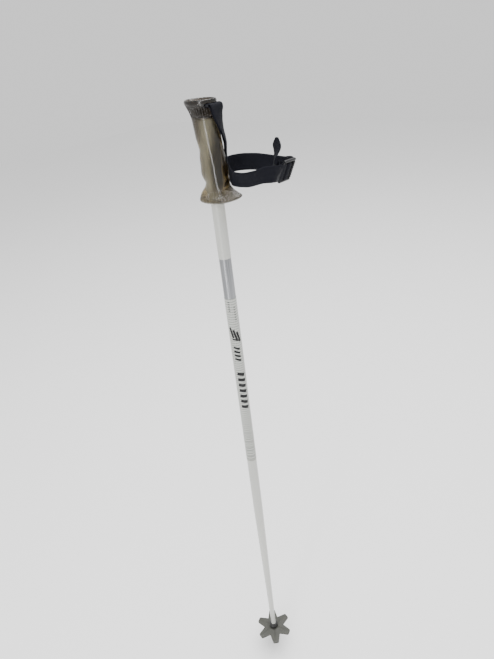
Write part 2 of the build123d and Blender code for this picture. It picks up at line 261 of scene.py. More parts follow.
def shaft_paint(name, base, bare=False, printed=False):
    """Gloss paint or film on the shaft. The bare tube is satin aluminium above BARE_FROM."""
    m = Nodes(name)
    x, y, z = m.axes(m.place())
    grime = m.noise(34.0, 5.0, stretch=(1.0, 1.0, 0.12))
    nicks = m.ramp(m.noise(420.0, 3.0, stretch=(1.0, 1.0, 0.35)), 0.69, 0.74)
    scuffs = m.ramp(m.noise(900.0, 2.0, stretch=(1.0, 1.0, 0.03)), 0.70, 0.76)
    tone = m.mix(m.ramp(grime, 0.35, 0.75), base, rgba(*(c * 0.86 for c in base[:3])))
    tone = m.mix(m.math("MULTIPLY", nicks, 0.35), tone, NICK_GREY)
    tone = m.mix(m.math("MULTIPLY", scuffs, 0.18), tone, SCUFF_GREY)
    rough = m.ramp(grime, 0.3, 0.8, 0.24, 0.42)
    if printed:
        tone = film_print(m, x, y, z, tone)
    if bare:
        metal_share = m.ramp(z, BARE_FROM - PAINT_EDGE, BARE_FROM + PAINT_EDGE)
        grain = m.noise(700.0, 3.0, stretch=(1.0, 1.0, 0.02))
        metal = m.mix(m.ramp(grain, 0.3, 0.7), METAL_DARK, METAL_PALE)
        tone = m.mix(metal_share, tone, metal)
        m.set(Metallic=metal_share)
        rough = m.math("ADD", rough, m.math("MULTIPLY", metal_share, 0.06))
    m.set(Base_Color=tone, Roughness=rough, Coat_Weight=0.25, Coat_Roughness=0.12)
    m.bump(m.noise(1500.0, 2.0), 0.05, 0.0001)
    return m.material


def film_print(m, x, y, z, tone):
    """The film's printed grid, the rings towards its lower end, and that end's ragged edge."""
    around = m.math("MULTIPLY", m.math("ARCTAN2", y, x), FILM_R)
    rows = m.math("SINE", m.math("MULTIPLY", z, math.tau / PRINT_ROWS))
    columns = m.math("SINE", m.math("MULTIPLY", around, math.tau / PRINT_COLUMNS))
    dots = m.ramp(m.math("ADD", rows, m.math("MULTIPLY", columns, 0.5)), 0.0, 0.5)
    fade = m.ramp(z, GRAPHIC_LOW + 0.03, GRAPHIC_HIGH - 0.02, 0.75, 0.60)
    tone = m.mix(m.math("MULTIPLY", dots, fade), tone, GRID_GREY)
    rings = m.ramp(m.math("SINE", m.math("MULTIPLY", z, math.tau / RING_PITCH)), 0.55, 0.95)
    near_end = m.ramp(z, GRAPHIC_LOW + RINGS_FROM, GRAPHIC_LOW + RINGS_TO, 0.85, 0.0)
    tone = m.mix(m.math("MULTIPLY", rings, near_end), tone, RING_GREY)
    ragged = m.math("ADD", z, m.math("MULTIPLY", m.noise(160.0, 4.0), RAGGED))
    torn = m.ramp(ragged, GRAPHIC_LOW + TORN_FROM, GRAPHIC_LOW + TORN_TO, 0.7, 0.0)
    return m.mix(torn, tone, TORN_GREY)


def smoke_plastic():
    """Glossy, translucent smoke-brown moulding: clearest over the shaft, with painted shade that
    tints the cap and the outer skin near-black.
    """
    m = Nodes("smoke_plastic")
    haze = m.noise(120.0, 4.0)
    scratches = m.noise(900.0, 3.0, stretch=(1.0, 1.0, 0.08))
    x, y, z = m.axes(m.place())
    out = m.math("SQRT", m.math("ADD", m.math("MULTIPLY", x, x), m.math("MULTIPLY", y, y)))
    wavy = m.math("ADD", z, m.math("MULTIPLY", m.noise(260.0, 3.0), 0.004))
    # Painted shade: the cap and the outer skin get a near-black base colour, which darkens the
    # light let through; the grip is one smoke-brown plastic.
    cap = m.ramp(wavy, CAP_SHADE_FROM, CAP_SHADE_TO)
    above_platform = m.ramp(z, PLATFORM_SHADE_FROM, PLATFORM_SHADE_TO, 0.25, 1.0)
    skin_shade = m.math("MULTIPLY", m.ramp(out, SKIN_SHADE_FROM, SKIN_SHADE_TO), above_platform)
    painted_shade = m.math("MAXIMUM", cap, m.math("MULTIPLY", skin_shade, 0.92))
    clear = m.mix(m.ramp(haze, 0.3, 0.7), SMOKE_CLEAR, SMOKE_CLEAREST)
    m.set(
        Base_Color=m.mix(painted_shade, clear, SMOKE_PAINTED_SHADE),
        Roughness=m.ramp(haze, 0.3, 0.75, 0.10, 0.20),
        Transmission_Weight=0.97,
        IOR=1.49,
        Specular_IOR_Level=0.5,
    )
    tint = m.add("ShaderNodeVolumeAbsorption")
    tint.inputs["Color"].default_value = SMOKE_TINT
    tint.inputs["Density"].default_value = GRIP_DENSITY
    m.link(tint.outputs[0], m.output.inputs["Volume"])
    m.bump(m.math("ADD", haze, m.math("MULTIPLY", scratches, 0.3)), 0.12, 0.0003)
    return m.material


def webbing(name):
    """Black nylon webbing: a fine herringbone weave with painted shade in its hollows and a little
    pale dust in it.
    """
    m = Nodes(name)
    uv = m.add("ShaderNodeTexCoord").outputs["UV"]
    across, along, _ = m.axes(uv)
    columns = m.math("MULTIPLY", across, math.tau / WEAVE_PITCH)
    zigzag = m.math("PINGPONG", across, HERRINGBONE)
    slanted = m.math("ADD", along, m.math("MULTIPLY", zigzag, HERRINGBONE_SLOPE))
    rows = m.math("SINE", m.math("MULTIPLY", slanted, math.tau / WEAVE_PITCH))
    cords = m.math("MULTIPLY", m.math("ADD", m.math("COSINE", columns), 1.0), 0.5)
    height = m.math("MULTIPLY", m.ramp(rows, -0.9, 0.9), m.ramp(cords, 0.0, 0.6, 0.45, 1.0))
    dust = m.noise(260.0, 5.0)
    # Painted shade and light: the thread is darker in the weave's hollows and lighter on its raised
    # cords.
    thread = m.mix(height, THREAD_HOLLOW_SHADE, THREAD_CORD_LIT)
    thread = m.mix(m.ramp(dust, 0.60, 0.85, 0.0, 0.25), thread, THREAD_DUST)
    m.set(
        Base_Color=thread,
        Roughness=m.ramp(height, 0.0, 1.0, 0.85, 0.58),
        Specular_IOR_Level=0.12,
    )
    m.bump(height, 0.7, 0.00035)
    return m.material


def moulded(name, base, rough, grain=900.0, bump=0.15, wear=0.3, specular=0.5):
    """Moulded plastic or rubber with a fine grain, uneven gloss and pale scuffs."""
    m = Nodes(name)
    cloud = m.noise(60.0, 4.0)
    fine = m.noise(grain, 3.0)
    scuff = m.ramp(m.noise(330.0, 5.0), 0.60, 0.72, 0.0, wear)
    pale = rgba(*(min(1.0, c * 1.9 + 0.05) for c in base[:3]))
    deep = rgba(*(c * 0.75 for c in base[:3]))
    tone = m.mix(m.ramp(cloud, 0.3, 0.7), deep, base)
    tone = m.mix(scuff, tone, pale)
    m.set(
        Base_Color=tone,
        Roughness=m.ramp(cloud, 0.3, 0.7, rough - 0.08, rough + 0.1),
        Specular_IOR_Level=specular,
    )
    m.bump(fine, bump, 0.0002)
    return m.material


def steel(name):
    """Worn steel with a fine grain along it."""
    m = Nodes(name)
    grain = m.noise(800.0, 3.0, stretch=(1.0, 1.0, 0.1))
    m.set(
        Base_Color=m.mix(m.ramp(grain, 0.3, 0.7), STEEL_DARK, STEEL_PALE),
        Metallic=1.0,
        Roughness=m.ramp(grain, 0.3, 0.7, 0.28, 0.45),
    )
    m.bump(grain, 0.2, 0.0001)
    return m.material


# ---- the materials used here -----------------------------------------------------------------
mat_tube = shaft_paint("tube_paint_and_metal", SHAFT_WHITE, bare=True)
mat_film = shaft_paint("upper_film_white", SHAFT_WHITE)
mat_print = shaft_paint("printed_film", FILM_WHITE, printed=True)
mat_grip = smoke_plastic()
mat_web = webbing("black_webbing")
mat_buckle = moulded(
    "buckle_plastic", rgba(0.010, 0.010, 0.012), rough=0.42, wear=0.06, specular=0.3
)
mat_basket = moulded(
    "basket_rubber", rgba(0.056, 0.057, 0.048), rough=0.62, grain=500.0, bump=0.3, wear=0.2
)
mat_collar = moulded("collar_plastic", rgba(0.018, 0.018, 0.018), rough=0.40, wear=0.2)
mat_plug = moulded("plug_plastic", rgba(0.62, 0.60, 0.54), rough=0.5)
mat_steel = steel("tip_steel")
mat_ink = moulded("black_ink", rgba(0.004, 0.004, 0.005), rough=0.75)
mat_thread = moulded(
    "black_thread", rgba(0.03, 0.03, 0.034), rough=0.6, grain=2500.0, bump=0.4
)


def finish_cad_nodes():
    """Better materials for the CAD pieces that stay as they are."""
    looks = {
        "shaft_tube": mat_tube,
        "upper_film": mat_film,
        "graphic_film": mat_print,
        "shaft_top_plug": mat_plug,
        "ferrule_plug": mat_plug,
        "tip_spike": mat_steel,
        "strap_anchor_pin": mat_steel,
        "tip_ferrule": mat_collar,
        "basket_ring": mat_collar,
        "basket_collar": mat_collar,
        "strap_wedge": mat_buckle,
    }
    for node, material in looks.items():
        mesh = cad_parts[node].data
        mesh.materials.clear()
        mesh.materials.append(material)


# ---- grip -----------------------------------------------------------------------------------
# One oval per level, in millimetres: height, front x, back x, half width, and the lift of the
# back in degrees.
GRIP_LEVELS = [
    (1077.5, -23.5, 36.0, 18.5, 3.0),
    (1079.0, -25.3, 38.5, 20.3, 3.0),
    (1081.0, -25.3, 38.5, 20.3, 3.0),
    (1084.0, -24.0, 35.0, 18.8, 3.0),
    (1088.0, -22.0, 30.0, 16.8, 2.5),
    (1092.5, -18.0, 25.5, 15.0, 2.0),
    (1097.5, -13.8, 22.3, 14.0, 1.0),
    (1102.5, -12.6, 21.2, 13.8, 0.0),
    (1109.0, -16.0, 20.9, 14.1, 0.0),
    (1115.0, -17.2, 20.8, 14.3, 0.0),
    (1122.0, -17.0, 20.5, 14.4, 0.0),
    (1132.0, -16.2, 19.4, 14.2, 0.0),
    (1142.0, -15.0, 17.6, 14.0, 0.0),
    (1150.0, -16.2, 16.8, 14.0, 0.0),
    (1158.0, -18.2, 16.0, 14.2, 0.0),
    (1166.0, -18.9, 15.3, 14.4, 0.0),
    (1174.0, -19.3, 15.0, 14.7, 0.0),
    (1182.0, -20.8, 15.0, 15.1, 0.0),
    (1188.0, -23.2, 15.0, 15.8, 0.0),
    (1193.0, -26.3, 15.2, 16.6, 0.0),
    (1196.0, -28.0, 15.4, 17.2, 0.0),
    (1198.5, -28.0, 15.4, 17.2, 0.0),
    (1199.9, -26.9, 14.6, 16.1, 0.0),
]
GRIP_AROUND = 352
GRIP_RINGS = 130
# The rings that close the two ends: share of the last oval, and how far above it, in millimetres.
UNDERSIDE = [(0.93, -0.25), (0.70, 0.6), (0.42, 1.2)]
CAP_DISH = [
    (0.96, 0.05),
    (0.92, -0.15),
    (0.89, -0.9),
    (0.86, -2.0),
    (0.8, -2.4),
    (0.5, -2.4),
    (0.2, -2.4),
]
# The moulded flutes: how many, their middle height, half height and depth, in millimetres.
CAP_FLUTES = (34, 1187.5, 6.2, 1.3)
PLATFORM_FLUTES = (44, 1087.0, 5.5, 1.0)
FINGERS_LOW, FINGERS_HIGH = 1092.0, 1172.0
FINGER_PITCH = 20.0
FINGER_DEPTH = 0.7
CURL_TOP, CURL_HEIGHT = 1094.0, 8.0
CURL_FROM, CURL_REACH, CURL_RISE = 12.0, 26.0, 2.6
SLOT_SIZE = (0.042, 0.0234, 0.0050)
SLOT_CENTRE = (0.0195, 0, 1.1935)
SLOT_CORNER = 0.0012
SHARP_EDGE = math.radians(40)


def flute_depth(z, turn):
    """How far the flutes under the cap and in the hand platform cut in, in millimetres."""
    cut = 0.0
    for count, middle, half, depth in (CAP_FLUTES, PLATFORM_FLUTES):
        near = math.exp(-(((z - middle) / half) ** 4))
        ribs = (0.5 + 0.5 * math.cos(count * turn)) ** 2
        cut += depth * near * ribs
    return cut


def finger_depth(z, turn):
    """Shallow finger hollows on the front of the grip, in millimetres."""
    if not FINGERS_LOW < z < FINGERS_HIGH:
        return 0.0
    facing = max(0.0, -math.cos(turn)) ** 3
    hollow = 0.5 - 0.5 * math.cos(math.tau * (z - FINGERS_LOW) / FINGER_PITCH)
    return FINGER_DEPTH * facing * hollow


def rim_lift(x, z):
    """The back of the hand platform curls up a little, in millimetres."""
    low = max(0.0, min(1.0, (CURL_TOP - z) / CURL_HEIGHT))
    return CURL_RISE * low * (max(0.0, x - CURL_FROM) / CURL_REACH) ** 2


def make_grip():
    """The one-piece grip, solid, with a dished cap, flutes, finger hollows and the strap's slot."""
    rows = [(0, 0, z, front, back, half, lift) for z, front, back, half, lift in GRIP_LEVELS]
    levels = smooth_through(rows, GRIP_RINGS)[:, 2:]
    verts = []

    def add_ring(z, front, back, half, lift, inset=0.0, share=1.0, flutes=True):
        start = len(verts)
        middle, reach = (front + back) / 2, (back - front) / 2
        slope = math.tan(math.radians(lift))
        for j in range(GRIP_AROUND):
            turn = math.tau * j / GRIP_AROUND
            cut = flute_depth(z, turn) + finger_depth(z, turn) if flutes else 0.0
            x = middle + (reach * share - cut) * math.cos(turn)
            y = (half * share - cut) * math.sin(turn)
            verts.append((x * MM, y * MM, (z + inset + x * slope + rim_lift(x, z)) * MM))
        return start

    for level in levels:
        add_ring(*level)
    faces = grid_faces(len(levels), GRIP_AROUND)
    for ring, insets in ((0, UNDERSIDE), (len(levels) - 1, CAP_DISH)):
        previous = ring * GRIP_AROUND
        for share, inset in insets:
            start = add_ring(*levels[ring], inset=inset, share=share, flutes=False)
            faces += join_rings(previous, start, GRIP_AROUND)
            previous = start
        faces.append(tuple(previous + j for j in range(GRIP_AROUND)))
    grip = mesh_piece("grip_moulding", verts, faces, mat_grip, "pole")
    cut_slot(grip)
    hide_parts("grip_body")


def cut_slot(grip):
    """The rectangular slot in the back of the neck that the strap comes out of."""
    bm = bmesh.new()
    bmesh.ops.create_cube(bm, size=1.0)
    bmesh.ops.scale(bm, verts=bm.verts, vec=SLOT_SIZE)
    bmesh.ops.translate(bm, verts=bm.verts, vec=SLOT_CENTRE)
    bmesh.ops.bevel(
        bm, geom=bm.edges[:], offset=SLOT_CORNER, segments=3, affect="EDGES", profile=0.5
    )
    mesh = bpy.data.meshes.new("slot_cutter")
    bm.to_mesh(mesh)
    bm.free()
    cutter = bpy.data.objects.new("slot_cutter", mesh)
    bpy.context.scene.collection.objects.link(cutter)
    modifier = grip.modifiers.new("slot", "BOOLEAN")
    modifier.operation = "DIFFERENCE"
    modifier.solver = "EXACT"
    modifier.object = cutter
    apply_modifiers(grip)
    bpy.data.objects.remove(cutter, do_unlink=True)
    smooth_faces(grip.data)
    bm = bmesh.new()
    bm.from_mesh(grip.data)
    for edge in bm.edges:
        if len(edge.link_faces) == 2 and edge.calc_face_angle() > SHARP_EDGE:
            edge.smooth = False
    bm.to_mesh(grip.data)
    bm.free()


# ---- strap ----------------------------------------------------------------------------------
WEB_WIDTH = 0.022
WEB_T = 0.0014
WEB_EDGE = 0.0012  # the rounded part at each edge
WEB_ACROSS = 14
ROWS_PER_METRE = 900
WAVE_HEIGHT = 0.0002  # the webbing isn't quite flat
TAIL_POINT = 0.013
TAIL_TIP_SHARE = 0.22  # the tip's width, as a share of the webbing's
ROOT_LENGTH = 0.045
WHOLE = (0.0, 1.0)  # more than any webbing's length
UP = (0, 0, 1)
DOWN = (0, 0, -1)


def web_section():
    """The webbing's cross-section: a flat strip with rounded, slightly thinner edges."""
    half = WEB_WIDTH / 2
    top = []
    for k in range(WEB_ACROSS + 1):
        u = -half + WEB_WIDTH * k / WEB_ACROSS
        edge = min(half - abs(u), WEB_EDGE) / WEB_EDGE
        rounding = math.sqrt(max(0.0, 1 - (1 - edge) ** 2))
        top.append((u, WEB_T / 2 * (0.35 + 0.65 * rounding)))
    return top + [(u, -v) for u, v in reversed(top)]


def ribbon(name, stations, body, waves=WAVE_HEIGHT, point=0.0, span=WHOLE):
    """Webbing along listed stations: each is a point in millimetres and the way across.

    Over its last `point` metres it narrows to a blunt tip. Only the part of it inside the span,
    in metres along it, is made. Returns the piece and its length."""
    rows = [(*place, *across) for place, across in stations]
    rough_length = sum(math.dist(a[:3], b[:3]) for a, b in zip(rows, rows[1:])) * MM
    line = smooth_through(rows, int(rough_length * ROWS_PER_METRE) + 4)
    middle = line[:, :3] * MM
    along = np.gradient(middle, axis=0)
    along /= np.linalg.norm(along, axis=1)[:, None]
    across = line[:, 3:]
    across = across - along * np.sum(across * along, axis=1)[:, None]
    across /= np.linalg.norm(across, axis=1)[:, None]
    normal = np.cross(along, across)
    gaps = np.linalg.norm(np.diff(middle, axis=0), axis=1)
    distance = np.concatenate([[0], np.cumsum(gaps)])
    whole = distance[-1]
    begin, end = np.searchsorted(distance, span[0]), np.searchsorted(distance, span[1]) + 1
    middle, across, normal = middle[begin:end], across[begin:end], normal[begin:end]
    distance = distance[begin:end]
    section = web_section()
    verts, coords = [], []
    for p, w, n, d in zip(middle, across, normal, distance):
        narrow = 1.0
        if point and whole - d < point:
            rounding = math.sin(math.pi / 2 * (whole - d) / point)
            narrow = TAIL_TIP_SHARE + (1 - TAIL_TIP_SHARE) * rounding
        for u, v in section:
            u *= narrow
            twist = waves * math.sin(d * 190.0) * (u / WEB_WIDTH * 2)
            ripple = waves * 0.7 * math.sin(d * 410.0 + u * 200)
            verts.append(p + w * u + n * (v + (twist + ripple)))
            coords.append((u + WEB_WIDTH, d))
    around = len(section)
    faces = grid_faces(len(middle), around)
    last = (len(middle) - 1) * around
    faces += [tuple(range(around)), tuple(range(last, last + around))]
    piece = mesh_piece(name, verts, faces, mat_web, body)
    uv = piece.data.uv_layers.new(name="weave")
    for loop in piece.data.loops:
        uv.data[loop.index].uv = coords[loop.vertex_index]
    return piece, float(distance[-1] - distance[0])


# The buckle is drawn lying square at its centre and then leaned over; so is the webbing in it.
BUCKLE_CENTRE = Vector((80.3, 46.5, 1108.0))
BUCKLE_LEAN = (
    Matrix.Rotation(math.radians(22.0), 3, "Y") @ Matrix.Rotation(math.radians(-4.0), 3, "X")
)
LEANED_UP = tuple(BUCKLE_LEAN @ Vector((0, 0, 1)))
LEANED_DOWN = tuple(BUCKLE_LEAN @ Vector((0, 0, -1)))


def seat(dx, dy):
    """A point on the leaned buckle's middle plane, dx out from its centre and dy along it."""
    return tuple(BUCKLE_CENTRE + BUCKLE_LEAN @ Vector((dx, dy, 0)))


FAR_STATIONS = [
    ((6.0, 0.0, 1192.2), (0, 1, 0)),
    ((12.0, 0.0, 1192.2), (0, 1, 0)),
    ((15.5, 0.0, 1191.8), (0, 1, 0)),
    ((17.2, 0.0, 1189.2), (0, 1, 0)),
    ((17.6, 0.2, 1184.0), (-0.1, 0.995, 0)),
    ((17.3, 2.4, 1176.0), (-0.33, 0.944, 0)),
    ((15.3, 6.9, 1166.0), (-0.52, 0.854, 0)),
    ((12.6, 12.5, 1156.0), (-0.574, 0.819, 0)),
    ((9.4, 17.5, 1146.0), (-0.574, 0.819, 0)),
    ((5.2, 22.0, 1136.0), (-0.574, 0.819, 0)),
    ((3.7, 23.3, 1127.0), (-0.574, 0.819, 0)),
    ((0.6, 26.1, 1117.5), (-0.406, 0.579, 0.707)),
    ((-3.4, 31.8, 1113.5), UP),
    ((-4.0, 38.8, 1114.0), UP),
    ((1.7, 46.4, 1114.8), UP),
    ((11.5, 53.3, 1115.0), UP),
    ((26.0, 62.2, 1113.6), UP),
    ((39.2, 67.8, 1111.2), UP),
    ((52.4, 71.4, 1109.2), (0.1, 0.05, 0.99)),
    ((62.9, 71.8, 1108.2), (0.25, 0.12, 0.96)),
    (seat(-7.6, 23.6), LEANED_UP),
    (seat(-3.4, 19.6), LEANED_UP),
]
NEAR_STATIONS = [
    ((6.0, 0.0, 1194.7), (0, 1, 0)),
    ((13.0, 0.0, 1194.8), (0, 1, 0)),
    ((16.8, 0.0, 1194.6), (0, 1, 0)),
    ((18.9, 0.0, 1192.0), (0, 1, 0)),
    ((19.4, 0.3, 1184.0), (-0.1, 0.995, 0)),
    ((18.9, 3.1, 1176.0), (-0.33, 0.944, 0)),
    ((16.8, 7.9, 1166.0), (-0.52, 0.854, 0)),
    ((14.1, 13.5, 1156.0), (-0.574, 0.819, 0)),
    ((10.9, 18.5, 1146.0), (-0.574, 0.819, 0)),
    ((6.7, 23.0, 1136.0), (-0.574, 0.819, 0)),
    ((5.2, 24.3, 1127.0), (-0.574, 0.819, 0)),
    ((8.2, 20.4, 1117.0), (-0.406, 0.579, -0.707)),
    ((14.9, 13.0, 1111.5), DOWN),
    ((22.0, 5.8, 1110.3), DOWN),
    ((31.1, -2.6, 1109.2), (-0.12, 0.17, -0.978)),
    ((42.0, -6.0, 1108.0), (-0.243, 0.346, -0.906)),
    ((53.1, -4.3, 1107.6), (-0.243, 0.346, -0.906)),
    ((62.1, 2.0, 1108.6), (-0.3, 0.25, -0.92)),
    ((70.2, 10.2, 1110.4), (-0.35, 0.05, -0.93)),
    (seat(-1.6, -28.6), LEANED_DOWN),
    (seat(0.75, -22.6), LEANED_DOWN),
    (seat(1.7, -15.1), LEANED_DOWN),
    (seat(2.3, -10.8), LEANED_DOWN),
    (seat(1.4, -8.0), LEANED_DOWN),
    (seat(-0.9, -7.8), LEANED_DOWN),
    (seat(-2.3, -10.0), LEANED_DOWN),
    (seat(-1.4, -16.6), LEANED_DOWN),
    (seat(-0.85, -22.6), LEANED_DOWN),
]
THREADED_STATIONS = [
    (seat(-3.4, 19.6), LEANED_UP),
    (seat(-3.0, 17.4), LEANED_UP),
    (seat(-3.0, 11.0), LEANED_UP),
    (seat(-0.8, 7.4), LEANED_UP),
    (seat(2.0, 4.3), LEANED_UP),
    (seat(2.7, 0.9), LEANED_UP),
    (seat(1.7, -2.6), LEANED_UP),
    (seat(-2.3, -5.2), LEANED_UP),
    (seat(-5.8, -7.5), LEANED_UP),
]
TAIL_STATIONS = [
    (seat(-5.8, -7.5), LEANED_UP),
    (seat(-8.3, -9.4), LEANED_UP),
    (seat(-10.4, -10.8), (0.4, -0.1, 0.9)),
    ((69.4, 36.4, 1117.0), (0.55, -0.6, 0.5)),
    ((69.8, 38.0, 1124.0), (0.574, -0.819, 0.1)),
    ((71.5, 39.8, 1132.0), (0.75, -0.66, 0.0)),
    ((72.6, 41.0, 1140.0), (0.88, -0.47, 0.0)),
    ((73.0, 41.6, 1149.0), (0.93, -0.37, 0.0)),
]


def finish_webbing(webbing, held, *nodes):
    """Hides the CAD nodes that a stretch of webbing replaces, and returns its length."""
    piece, length = webbing
    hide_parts(*nodes)
    return length


def make_strap():
    """The webbing of the hand loop, from the slot round to the loose end beyond the buckle."""
    root = ribbon("strap_root_webbing", FAR_STATIONS, None, span=(WHOLE[0], ROOT_LENGTH))
    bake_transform(root[0])
    far = ribbon("strap_far_webbing", FAR_STATIONS, None, span=(ROOT_LENGTH, WHOLE[1]))
    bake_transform(far[0])
    near = ribbon("strap_near_webbing", NEAR_STATIONS, None)
    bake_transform(near[0])
    threaded = ribbon("strap_threaded_webbing", THREADED_STATIONS, "buckle", waves=0.0)
    tail = ribbon("strap_tail_webbing", TAIL_STATIONS, "tail", point=TAIL_POINT)
    lengths = [
        finish_webbing(root, "hung", "strap_root"),
        finish_webbing(far, "hung", "strap_far_band"),
        finish_webbing(near, "hung", "strap_near_band", "strap_bar_fold"),
        finish_webbing(threaded, "folded", "strap_threaded"),
        finish_webbing(tail, "hung", "strap_tail"),
    ]
    print("webbing lengths, root far near threaded tail:", lengths)


# ---- buckle ---------------------------------------------------------------------------------
def rounded_bar(bm, low, high, bevel):
    """A bevelled block between two corners, in millimetres."""
    made = bmesh.ops.create_cube(bm, size=1.0)
    size = [(h - l) * MM for l, h in zip(low, high)]
    centre = [(h + l) / 2 * MM for l, h in zip(low, high)]
    bmesh.ops.scale(bm, verts=made["verts"], vec=size)
    bmesh.ops.translate(bm, verts=made["verts"], vec=centre)
    edges = list({edge for vert in made["verts"] for edge in vert.link_edges})
    bmesh.ops.bevel(bm, geom=edges, offset=bevel * MM, segments=4, affect="EDGES", profile=0.5)


def leaned_piece(name, bm, material, body):
    """A piece drawn round the buckle's centre, leaned over with it and set in place."""
    mesh = bpy.data.meshes.new(name)
    bm.to_mesh(mesh)
    bm.free()
    mesh.transform(Matrix.Translation(BUCKLE_CENTRE * MM) @ BUCKLE_LEAN.to_4x4())
    mesh.materials.append(material)
    smooth_faces(mesh)
    piece = bpy.data.objects.new(name, mesh)
    bpy.context.scene.collection.objects.link(piece)
    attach(piece, body)
    return piece


# The buckle's parts, each two corners in millimetres from its centre: x through it, y along the
# webbing and z across it.
RAILS = [
    ((-2.0, -11.8, -15.0), (2.0, 14.9, -11.6)),
    ((-2.0, -11.8, 11.6), (2.0, 14.9, 15.0)),
]
LIP_BAR = ((-2.0, 11.4, -12.4), (2.0, 14.9, 12.4))
MIDDLE_BAR = ((-1.5, -1.1, -12.2), (1.5, 2.9, 12.2))
LIP_RIDGES = 9
RIDGE_PITCH = 2.4
RIDGE_HALF = 0.5
FIXED_BAR_Y = -10.0
FIXED_BAR_R = 1.6
FIXED_BAR_LENGTH = 24.4


def make_buckle():
    """A ladder-lock buckle: two rails, a ribbed lip bar, a middle bar and a round fixed bar."""
    bm = bmesh.new()
    for low, high in (*RAILS, LIP_BAR):
        rounded_bar(bm, low, high, 1.5)
    rounded_bar(bm, *MIDDLE_BAR, 1.1)
    for k in range(LIP_RIDGES):
        ridge = (k - LIP_RIDGES // 2) * RIDGE_PITCH
        rounded_bar(bm, (1.2, 12.0, ridge - RIDGE_HALF), (2.4, 14.3, ridge + RIDGE_HALF), 0.3)
    buckle = leaned_piece("buckle_ladder", bm, mat_buckle, "buckle")
    bm = bmesh.new()
    radius = FIXED_BAR_R * MM
    made = bmesh.ops.create_cone(
        bm,
        segments=32,
        radius1=radius,
        radius2=radius,
        depth=FIXED_BAR_LENGTH * MM,
        cap_ends=True,
    )
    bmesh.ops.translate(bm, verts=made["verts"], vec=(0, FIXED_BAR_Y * MM, 0))
    bar = leaned_piece("buckle_fixed_bar", bm, mat_buckle, "buckle")
    for piece in (buckle, bar):
        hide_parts("buckle_frame")


TACK_ROWS = 6
TACK_ROW_PITCH = 0.9
TACK_STITCHES = 22
TACK_STITCH_PITCH = 0.86
TACK_FROM_Y = -22.0
TACK_LEAN = 0.35
STITCH_SIZE = (0.30 * MM, 0.62 * MM, 1.05 * MM)


def make_bar_tack():
    """Rows of zigzag thread that hold the near band's fold shut, seen on its outer face."""
    bm = bmesh.new()
    for row in range(TACK_ROWS):
        y = TACK_FROM_Y + row * TACK_ROW_PITCH
        x = 1.47 + (y + 22.6) * 0.127  # the webbing's outer face slants this way here
        for k in range(TACK_STITCHES):
            lean = TACK_LEAN if (k + row) % 2 else -TACK_LEAN
            z = (k - (TACK_STITCHES - 1) / 2) * TACK_STITCH_PITCH
            made = bmesh.ops.create_uvsphere(bm, u_segments=8, v_segments=6, radius=0.5)
            bmesh.ops.scale(bm, verts=made["verts"], vec=STITCH_SIZE)
            bmesh.ops.rotate(bm, verts=made["verts"], matrix=Matrix.Rotation(lean, 3, "X"))
            bmesh.ops.translate(bm, verts=made["verts"], vec=(x * MM, y * MM, z * MM))
    tack = leaned_piece("bar_tack_thread", bm, mat_thread, "strap")
    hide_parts("strap_bar_tack")


# ---- basket ---------------------------------------------------------------------------------
STAR_TURN = math.radians(10.0)
STAR_PETALS = 6
PETAL_STEP = math.tau / STAR_PETALS
# All in millimetres.
STAR_R = 38.8
STAR_INNER_R = 9.02
STAR_LOW, STAR_HIGH = 60.0, 63.4
STAR_AROUND = 360
STAR_RING_SHARES = [0.0, 0.12, 0.3, 0.5, 0.7, 0.85, 0.94, 1.0]
RIB_RISE, RIB_HALF, RIB_END_R = 1.3, 1.3, 36.0
HUB_RISE, HUB_R, HUB_SPREAD = 2.4, 9.0, 2.2
DROOP, DROOP_FROM_R = 0.0009, 12.0
RIM_DROP, RIM_FROM = 0.9, 0.85
PETAL_ROOT_R = 20.0
PETAL_ROOT_HALF, PETAL_TIP_HALF = 10.8, 6.0
PETAL_TIP_ROUND = 2.4
VALLEY_R, VALLEY_DIP = 21.0, 0.8
OUTLINE_STEPS = 400


def make_basket():
    """Six rounded petals round a hub, with a raised rib along each petal and a thin, soft rim."""
    top, bottom = [], []
    rim = basket_outline()
    for share in STAR_RING_SHARES:
        edge = -RIM_DROP * max(0.0, (share - RIM_FROM) / (1 - RIM_FROM)) ** 2
        for turn, radius in rim:
            r = STAR_INNER_R + (radius - STAR_INNER_R) * share
            lateral = abs(r * math.sin(petal_offset(turn)))
            rib = RIB_RISE * math.exp(-((lateral / RIB_HALF) ** 2))
            rib *= min(1.0, max(0.0, (RIB_END_R - r) / 4.0))
            hub = HUB_RISE * math.exp(-(((r - HUB_R) / HUB_SPREAD) ** 2))
            droop = -DROOP * max(0.0, r - DROOP_FROM_R) ** 2
            x, y = r * math.cos(turn) * MM, r * math.sin(turn) * MM
            top.append((x, y, (STAR_HIGH + rib + hub + droop + edge) * MM))
            bottom.append((x, y, (STAR_LOW + droop * 0.6 - edge * 0.5) * MM))
    rings, base = len(STAR_RING_SHARES), len(top)
    faces = grid_faces(rings, STAR_AROUND)
    faces += [tuple(base + v for v in reversed(face)) for face in faces]
    outer = (rings - 1) * STAR_AROUND
    faces += join_rings(outer, base + outer, STAR_AROUND)
    faces += join_rings(base, 0, STAR_AROUND)
    basket = mesh_piece("basket_petals", top + bottom, faces, mat_basket, "basket")
    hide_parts("basket_star")


def petal_offset(turn):
    """The angle from the nearest petal's middle line."""
    return (turn - STAR_TURN + PETAL_STEP / 2) % PETAL_STEP - PETAL_STEP / 2


